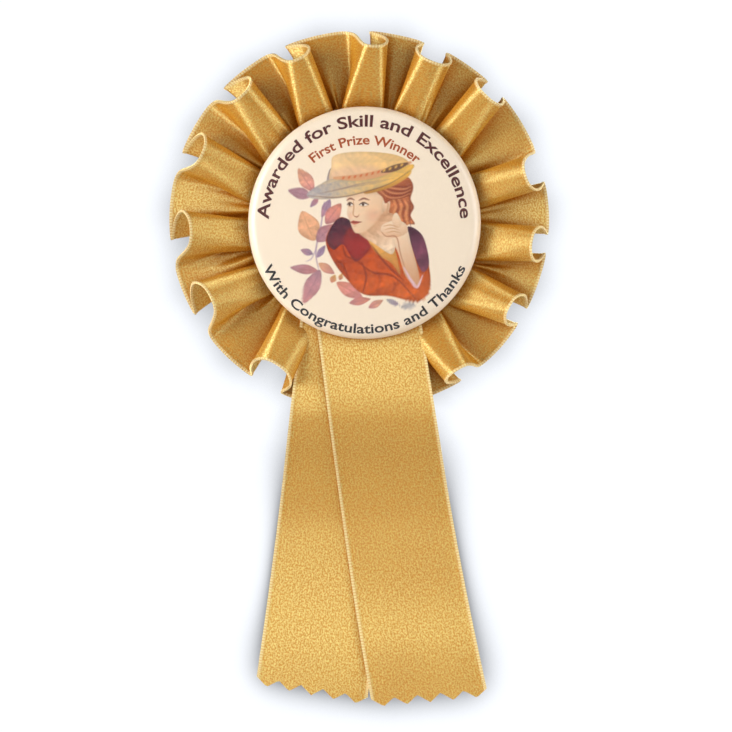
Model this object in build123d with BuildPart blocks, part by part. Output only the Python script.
"""Award ribbon: a gathered satin rosette with a button badge, two hanging tails and a brooch pin.

Millimetres. +X is the viewer's right, +Z is up and the front faces -Y. The origin is on the
garment pin's axis, straight behind the middle of the badge.
"""
from build123d import *
from math import cos, radians, sin, sqrt
import os

# Badge: a 56 mm pressed button
badge_radius = 28.0
badge_depth = 5.0
badge_dome_radius = 190.0
badge_edge_radius = 2.8
film_thickness = 0.12
insert_thickness = 0.15
shell_thickness = 0.30
layer_gap = 0.03
film_skirt_lift = 0.15
insert_skirt_lift = 0.30
button_back_radius = 27.2
button_back_thickness = 0.4

# Cards and foam, stacked from the back towards the front
needle_standoff = 2.6
cover_card_radius = 24.5
cover_card_thickness = 0.8
mounting_card_radius = 26.0
mounting_card_thickness = 1.5
card_to_button = 4.9
foam_radius = 17.0
foam_pocket_half_width = 16.4
foam_pocket_depth = 3.2
foam_pocket_top_z = -4.5
foam_bottom_z = -12.8

# Ribbon and ruffle
ribbon_width = 25.0
ribbon_thickness = 0.3
ruffle_wall = 0.4
ruffle_inner_radius = 20.0
ruffle_outer_radius = 45.0
ruffle_mouth_radius = 41.5
ruffle_centre_x = -1.3
ruffle_centre_z = 0.7
header_radius = 29.0
pleat_angles = [-1.6, 21.9, 44.2, 72.3, 96.3, 120.4, 143.7, 213.5, 238.5, 261.6, 288.0, 310.8, 334.0]
pleat_angles_under_tails = [167.5, 190.0]
pleat_width = {"neck": 5.6, "header": 6.8, "mouth": 9.6}
pleat_height = {"neck": 1.6, "header": 3.2, "mouth": 11.0}
pressed_pleat_height = {"neck": 1.6, "header": 2.9, "mouth": 4.9}
pleat_corner_share = 0.38
thread_ring_radius = 22.0
thread_radius = 0.2
thread_clearance = 0.05

# Tails: the ribbons' shared middle line seen from the side, as (y, z)
tail_middle_line = [
    (-6.6, -6.0), (-6.8, -11.0), (-8.0, -15.5), (-8.8, -20.0), (-9.2, -27.0), (-9.4, -30.0),
    (-10.7, -41.0), (-10.6, -46.0), (-5.9, -56.0), (-1.4, -67.0), (-0.2, -80.0), (0.3, -125.0),
]
tail_half_spacing = 0.25
front_tail_lean = 9.0
front_tail_axis_x = -2.6
front_tail_length = 116.3
front_tail_end_slope = 0.0
rear_tail_lean = -6.8
rear_tail_axis_x = 0.1
rear_tail_length = 110.6
rear_tail_end_slope = -0.04
tail_start = 6.5
pinked_teeth = 5
pinked_depth = 2.0
tails_hinge_z = -30.0
tails_hinge_half_gap = 0.55
front_hinge_z = -46.0
front_hinge_half_gap = 0.6

# Staples
staple_wire_radius = 0.25
staple_hole_radius = 0.34
staple_bend_radius = 0.45
staple_crown = 7.0
staple_places_x = (-5.5, 5.5)
staple_z = -11.0
staple_crown_y = -7.55
staple_foot_y = -3.72
staple_foot_length = 2.2

# Brooch pin
bar_length = 37.0
bar_width = 6.0
bar_thickness = 0.6
hinge_x = -15.0
ear_radius = 1.2
ear_thickness = 0.5
ear_inner_z = 0.6
rivet_radius = 0.44
rivet_head_radius = 0.8
rivet_head_thickness = 0.3
rivet_seat_clearance = 0.01
needle_radius = 0.4
needle_eye_radius = 1.2
needle_eye_thickness = 1.0
needle_eye_clearance = 0.04
needle_root_x = -14.3
needle_taper_x = 10.5
needle_tip_x = 16.5
needle_tip_radius = 0.1
catch_x = 14.0
catch_length = 2.6
catch_bore_radius = 0.75
catch_radius = 1.5
catch_slot_width = 1.2
catch_running_clearance = 0.03
catch_flange_radius = 1.9
catch_flange_thickness = 0.35
catch_flange_gap = 0.06
catch_tab_angle = 60.0
catch_tab_width = 0.8
catch_tab_reach = 2.9
catch_tab_length = 1.6
housing_radius = 2.05
housing_opening_from = -60.0
housing_opening_to = 80.0

# Worked out from the values above
cover_rear_y = -needle_standoff
cover_front_y = cover_rear_y - cover_card_thickness
card_front_y = cover_front_y - mounting_card_thickness
button_rear_y = card_front_y - card_to_button
badge_front_y = button_rear_y - badge_depth
bar_rear_y = cover_rear_y + bar_thickness

os.makedirs("parts", exist_ok=True)


def finish(builder, name):
    """Label a finished piece and write its STEP file."""
    builder.part.label = name
    export_step(builder.part, f"parts/{name}.step")


def disc(radius, rear_y, front_y):
    """A flat disc facing the front, centred on the badge's axis."""
    with BuildPart() as piece:
        with BuildSketch(Plane.XZ.offset(-rear_y)):
            Circle(radius)
        extrude(amount=rear_y - front_y)
    return piece.part


# ---------------------------------------------------------------- badge


def badge_curve(inset):
    """Points of the badge's section, in from its outer surface by inset: a dome, then a rolled edge."""
    dome_centre_y = badge_front_y + badge_dome_radius
    edge_centre_x = badge_radius - badge_edge_radius
    reach = badge_dome_radius - badge_edge_radius
    edge_centre_y = dome_centre_y - sqrt(reach**2 - edge_centre_x**2)
    dome_end = badge_dome_radius - inset
    tangent_x = edge_centre_x / reach
    tangent_y = (edge_centre_y - dome_centre_y) / reach
    dome_middle_x = dome_end * tangent_x / 2
    edge_diagonal = sin(radians(45)) * (badge_edge_radius - inset)
    return {
        "front": (0, badge_front_y + inset),
        "dome_middle": (dome_middle_x, dome_centre_y - sqrt(dome_end**2 - dome_middle_x**2)),
        "dome_end": (dome_end * tangent_x, dome_centre_y + dome_end * tangent_y),
        "edge_middle": (edge_centre_x + edge_diagonal, edge_centre_y - edge_diagonal),
        "edge_end": (badge_radius - inset, edge_centre_y),
    }


def badge_layer(inset, thickness, skirt_y):
    """One thin domed layer of the badge, revolved about the badge's axis."""
    outer = badge_curve(inset)
    inner = badge_curve(inset + thickness)
    with BuildPart() as layer:
        with BuildSketch(Plane.XY):
            with BuildLine():
                ThreePointArc(outer["front"], outer["dome_middle"], outer["dome_end"])
                ThreePointArc(outer["dome_end"], outer["edge_middle"], outer["edge_end"])
                Polyline(outer["edge_end"], (outer["edge_end"][0], skirt_y),
                         (inner["edge_end"][0], skirt_y), inner["edge_end"])
                ThreePointArc(inner["edge_end"], inner["edge_middle"], inner["dome_end"])
                ThreePointArc(inner["dome_end"], inner["dome_middle"], inner["front"])
                Line(inner["front"], outer["front"])
            make_face()
        revolve(axis=Axis.Y)
    return layer.part


insert_inset = film_thickness + layer_gap
shell_inset = insert_inset + insert_thickness + layer_gap

with BuildPart() as film_cover:
    add(badge_layer(0, film_thickness, button_rear_y - film_skirt_lift))
finish(film_cover, "film_cover")

with BuildPart() as printed_insert:
    add(badge_layer(insert_inset, insert_thickness, button_rear_y - insert_skirt_lift))
finish(printed_insert, "printed_insert")

with BuildPart() as button_shell:
    add(badge_layer(shell_inset, shell_thickness, button_rear_y))
finish(button_shell, "button_shell")

with BuildPart() as button_back:
    add(disc(button_back_radius, button_rear_y, button_rear_y - button_back_thickness))
finish(button_back, "button_back")

# ---------------------------------------------------------------- staples


def staple(x, wire_radius):
    """A bent wire staple: a crown in front, two legs and two feet folded towards each other."""
    half = staple_crown / 2
    foot_end = half - staple_foot_length
    with BuildPart() as wire:
        with BuildLine(Plane.XY.offset(staple_z)) as path:
            FilletPolyline(
                (x - foot_end, staple_foot_y), (x - half, staple_foot_y), (x - half, staple_crown_y),
                (x + half, staple_crown_y), (x + half, staple_foot_y), (x + foot_end, staple_foot_y),
                radius=staple_bend_radius,
            )
        with BuildSketch(Plane(origin=path.line @ 0, z_dir=path.line % 0)):
            Circle(wire_radius)
        sweep(path=path.line)
    return wire.part


def staple_clearance():
    """The room that both staples need in the ribbons and the card."""
    with BuildPart() as room:
        for x in staple_places_x:
            add(staple(x, staple_hole_radius))
    return room.part


with BuildPart() as tail_staples:
    for x in staple_places_x:
        add(staple(x, staple_wire_radius))
finish(tail_staples, "tail_staples")

# ---------------------------------------------------------------- cards and foam

with BuildPart() as back_cover_card:
    add(disc(cover_card_radius, cover_rear_y, cover_front_y))
finish(back_cover_card, "back_cover_card")

with BuildPart() as mounting_card:
    add(disc(mounting_card_radius, cover_front_y, card_front_y))
    add(staple_clearance(), mode=Mode.SUBTRACT)
    # the folded feet are pressed into the card's rear, so their hollows open onto the cover card
    with Locations(*[(x + side * (staple_crown / 2 - staple_foot_length / 2), cover_front_y, staple_z)
                     for x in staple_places_x for side in (-1, 1)]):
        Box(staple_foot_length + 2 * staple_hole_radius, 2 * (cover_front_y - staple_foot_y),
            2 * staple_hole_radius, mode=Mode.SUBTRACT)
finish(mounting_card, "mounting_card")

with BuildPart() as foam_pad:
    add(disc(foam_radius, card_front_y, button_rear_y))
    # room for the stapled ribbon ends
    with BuildSketch(Plane.XZ.offset(-card_front_y)):
        with Locations((0, foam_pocket_top_z)):
            Rectangle(2 * foam_pocket_half_width, 2 * foam_radius, align=(Align.CENTER, Align.MAX))
    extrude(amount=foam_pocket_depth, mode=Mode.SUBTRACT)
    # the ribbons climb forward below the staples, so the lower edge of the foam is cut off
    split(bisect_by=Plane.XY.offset(foam_bottom_z), keep=Keep.TOP)
finish(foam_pad, "foam_pad")

# ---------------------------------------------------------------- tails


def tail_plane(axis_x, lean):
    """The front view of one tail: its Y runs up the ribbon, which leans as it hangs."""
    return Plane(origin=(axis_x, 0, 0), x_dir=(cos(radians(lean)), 0, sin(radians(lean))), z_dir=(0, -1, 0))


def pinked_end(length, end_slope):
    """The zigzag along a tail's cut end, from left to right."""
    pitch = ribbon_width / pinked_teeth
    points = []
    for step in range(2 * pinked_teeth + 1):
        across = -ribbon_width / 2 + step * pitch / 2
        down = length - end_slope * across
        points.append((across, -down if step % 2 else -down + pinked_depth))
    return points


def tail_ribbon(axis_x, lean, length, offset_y, end_slope):
    """A whole tail: the side profile given width, then cut to the outline seen from the front."""
    profile = [(y + offset_y, z) for y, z in tail_middle_line]
    with BuildPart() as ribbon:
        with BuildSketch(Plane.YZ):
            with BuildLine():
                near = Spline(*[(y - ribbon_thickness / 2, z) for y, z in profile])
                far = Spline(*[(y + ribbon_thickness / 2, z) for y, z in profile])
                Line(near @ 0, far @ 0)
                Line(near @ 1, far @ 1)
            make_face()
        extrude(amount=2 * ribbon_width, both=True)
        with BuildSketch(tail_plane(axis_x, lean)):
            with BuildLine():
                end = pinked_end(length, end_slope)
                Polyline((-ribbon_width / 2, -tail_start), *end, (ribbon_width / 2, -tail_start), close=True)
            make_face()
        extrude(amount=2 * badge_radius, both=True, mode=Mode.INTERSECT)
    return ribbon.part


front_ribbon = tail_ribbon(front_tail_axis_x, front_tail_lean, front_tail_length, -tail_half_spacing,
                           front_tail_end_slope)
rear_ribbon = tail_ribbon(rear_tail_axis_x, rear_tail_lean, rear_tail_length, tail_half_spacing,
                          rear_tail_end_slope)

with BuildPart() as front_tail_head:
    add(front_ribbon)
    split(bisect_by=Plane.XY.offset(tails_hinge_z + tails_hinge_half_gap), keep=Keep.TOP)
    add(staple_clearance(), mode=Mode.SUBTRACT)
finish(front_tail_head, "front_tail_head")

with BuildPart() as rear_tail_head:
    add(rear_ribbon)
    split(bisect_by=Plane.XY.offset(tails_hinge_z + tails_hinge_half_gap), keep=Keep.TOP)
    add(staple_clearance(), mode=Mode.SUBTRACT)
finish(rear_tail_head, "rear_tail_head")

with BuildPart() as rear_tail:
    add(rear_ribbon)
    split(bisect_by=Plane.XY.offset(tails_hinge_z - tails_hinge_half_gap), keep=Keep.BOTTOM)
finish(rear_tail, "rear_tail")

with BuildPart() as front_tail_upper:
    add(front_ribbon)
    split(bisect_by=Plane.XY.offset(tails_hinge_z - tails_hinge_half_gap), keep=Keep.BOTTOM)
    split(bisect_by=Plane.XY.offset(front_hinge_z + front_hinge_half_gap), keep=Keep.TOP)
finish(front_tail_upper, "front_tail_upper")

with BuildPart() as front_tail_lower:
    add(front_ribbon)
    split(bisect_by=Plane.XY.offset(front_hinge_z - front_hinge_half_gap), keep=Keep.BOTTOM)
finish(front_tail_lower, "front_tail_lower")

# ---------------------------------------------------------------- ruffle


def pleat_section(radius, width, height, inset):
    """One pleat's section, standing on the card's front face at this distance from the centre."""
    with BuildSketch(Plane.XY.offset(radius)) as section:
        with Locations((0, card_front_y - height / 2)):
            RectangleRounded(width - 2 * inset, height - 2 * inset,
                             pleat_corner_share * min(width - 2 * inset, height - 2 * inset))
    return section.sketch


def pleat(heights, inset):
    """A pleat pointing up: a tube that widens from the gathered neck to its open mouth."""
    past_the_mouth = ruffle_outer_radius + inset
    before_the_neck = ruffle_inner_radius - inset
    with BuildPart() as tube:
        add(pleat_section(before_the_neck, pleat_width["neck"], heights["neck"], inset))
        add(pleat_section(header_radius, pleat_width["header"], heights["header"], inset))
        add(pleat_section(past_the_mouth, pleat_width["mouth"], heights["mouth"], inset))
        loft(ruled=True)
    return tube.part


def turned(angles):
    """Places around the ruffle's centre, clockwise from the top as seen from the front."""
    return [Location((0, 0, 0), (0, angle, 0)) for angle in angles]


standing_pleat = pleat(pleat_height, 0)
standing_hollow = pleat(pleat_height, ruffle_wall)
pressed_pleat = pleat(pressed_pleat_height, 0)
pressed_hollow = pleat(pressed_pleat_height, ruffle_wall)

with BuildPart() as gathered_ring:
    with BuildSketch(Plane.XZ.offset(-card_front_y)):
        Circle(ruffle_outer_radius)
        Circle(ruffle_inner_radius, mode=Mode.SUBTRACT)
    extrude(amount=ruffle_wall)
    with Locations(*turned(pleat_angles)):
        add(standing_pleat)
    with Locations(*turned(pleat_angles_under_tails)):
        add(pressed_pleat)
    with Locations(*turned(pleat_angles)):
        add(standing_hollow, mode=Mode.SUBTRACT)
    with Locations(*turned(pleat_angles_under_tails)):
        add(pressed_hollow, mode=Mode.SUBTRACT)
    # the ribbon is one width throughout, so a pleat that stands up reaches less far out
    with BuildSketch(Plane.XY):
        with BuildLine():
            Polyline((ruffle_inner_radius, card_front_y), (ruffle_outer_radius, card_front_y),
                     (ruffle_mouth_radius, card_front_y - pleat_height["mouth"]),
                     (ruffle_inner_radius, card_front_y - pleat_height["mouth"]), close=True)
        make_face()
    revolve(axis=Axis.Y, mode=Mode.INTERSECT)

with BuildPart() as ruffle:
    with Locations((ruffle_centre_x, 0, ruffle_centre_z)):
        add(gathered_ring.part)
finish(ruffle, "ruffle")

neck_rise = (thread_ring_radius - ruffle_inner_radius) / (header_radius - ruffle_inner_radius)
neck_height = pleat_height["neck"] + neck_rise * (pleat_height["header"] - pleat_height["neck"])
thread_y = card_front_y - neck_height - thread_radius - thread_clearance

with BuildPart() as gathering_thread:
    with BuildSketch(Plane.XY.offset(ruffle_centre_z)):
        with Locations((ruffle_centre_x + thread_ring_radius, thread_y)):
            Circle(thread_radius)
    revolve(axis=Axis((ruffle_centre_x, 0, ruffle_centre_z), (0, 1, 0)))
finish(gathering_thread, "gathering_thread")

# ---------------------------------------------------------------- brooch pin

with BuildPart() as pin_bar:
    with BuildSketch(Plane.XZ.offset(-bar_rear_y)):
        SlotOverall(bar_length, bar_width)
    extrude(amount=bar_thickness)
    # two ears carry the rivet
    for side in (-1, 1):
        with BuildSketch(Plane.XY.offset(side * (ear_inner_z + ear_thickness / 2))):
            with Locations((hinge_x, 0)):
                Circle(ear_radius)
            with Locations((hinge_x, bar_rear_y)):
                Rectangle(2 * ear_radius, -bar_rear_y, align=(Align.CENTER, Align.MIN))
        extrude(amount=ear_thickness / 2, both=True)
    with Locations((hinge_x, 0, 0)):
        Hole(rivet_radius + rivet_seat_clearance)
    # an open ring holds the turning catch
    with BuildSketch(Plane.YZ.offset(catch_x)):
        Circle(housing_radius)
    extrude(amount=catch_length / 2, both=True)
    with BuildSketch(Plane.YZ.offset(catch_x)):
        Circle(catch_radius + catch_running_clearance)
    extrude(amount=catch_length / 2, both=True, mode=Mode.SUBTRACT)
    with BuildSketch(Plane.YZ.offset(catch_x)):
        with BuildLine():
            reach = 2 * housing_radius
            opening_angle = housing_opening_to - housing_opening_from
            opening = CenterArc((0, 0), reach, housing_opening_from, opening_angle)
            Line((0, 0), opening @ 0)
            Line((0, 0), opening @ 1)
        make_face()
    extrude(amount=catch_length / 2, both=True, mode=Mode.SUBTRACT)
finish(pin_bar, "pin_bar")

with BuildPart() as hinge_rivet:
    with Locations((hinge_x, 0, 0)):
        Cylinder(rivet_radius, 2 * (ear_inner_z + ear_thickness))
    head_z = ear_inner_z + ear_thickness + rivet_head_thickness / 2
    with Locations((hinge_x, 0, head_z), (hinge_x, 0, -head_z)):
        Cylinder(rivet_head_radius, rivet_head_thickness)
    fillet(hinge_rivet.edges().filter_by(GeomType.CIRCLE).group_by(Axis.Z)[-1], rivet_head_thickness / 2)
    fillet(hinge_rivet.edges().filter_by(GeomType.CIRCLE).group_by(Axis.Z)[0], rivet_head_thickness / 2)
finish(hinge_rivet, "hinge_rivet")

with BuildPart() as pin_needle:
    with BuildSketch(Plane.YZ.offset(needle_root_x)):
        Circle(needle_radius)
    extrude(amount=needle_taper_x - needle_root_x)
    with BuildSketch(Plane.YZ.offset(needle_taper_x)):
        Circle(needle_radius)
    with BuildSketch(Plane.YZ.offset(needle_tip_x)):
        Circle(needle_tip_radius)
    loft()
    # the eye turns on the rivet
    with Locations((hinge_x, 0, 0)):
        Cylinder(needle_eye_radius, needle_eye_thickness)
        Hole(rivet_radius + needle_eye_clearance)
finish(pin_needle, "pin_needle")

with BuildPart() as catch_barrel:
    with BuildSketch(Plane.YZ.offset(catch_x)):
        Circle(catch_radius)
    extrude(amount=catch_length / 2 + catch_flange_gap, both=True)
    for side in (-1, 1):
        flange_x = catch_x + side * (catch_length / 2 + catch_flange_gap + catch_flange_thickness / 2)
        with BuildSketch(Plane.YZ.offset(flange_x)):
            Circle(catch_flange_radius)
        extrude(amount=catch_flange_thickness / 2, both=True)
    with Locations(Location((catch_x, 0, 0), (0, 90, 0))):
        Hole(catch_bore_radius)
    # the needle enters through a slot that faces backwards when the catch is open
    with Locations((catch_x, catch_flange_radius, 0)):
        Box(2 * catch_length, 2 * catch_flange_radius, catch_slot_width, mode=Mode.SUBTRACT)
    # a tab for a fingernail
    tab_foot = (catch_bore_radius + catch_radius) / 2
    with Locations(Location((catch_x, 0, 0), (catch_tab_angle, 0, 0))):
        with Locations((0, (tab_foot + catch_tab_reach) / 2, 0)):
            Box(catch_tab_length, catch_tab_reach - tab_foot, catch_tab_width)
finish(catch_barrel, "catch_barrel")
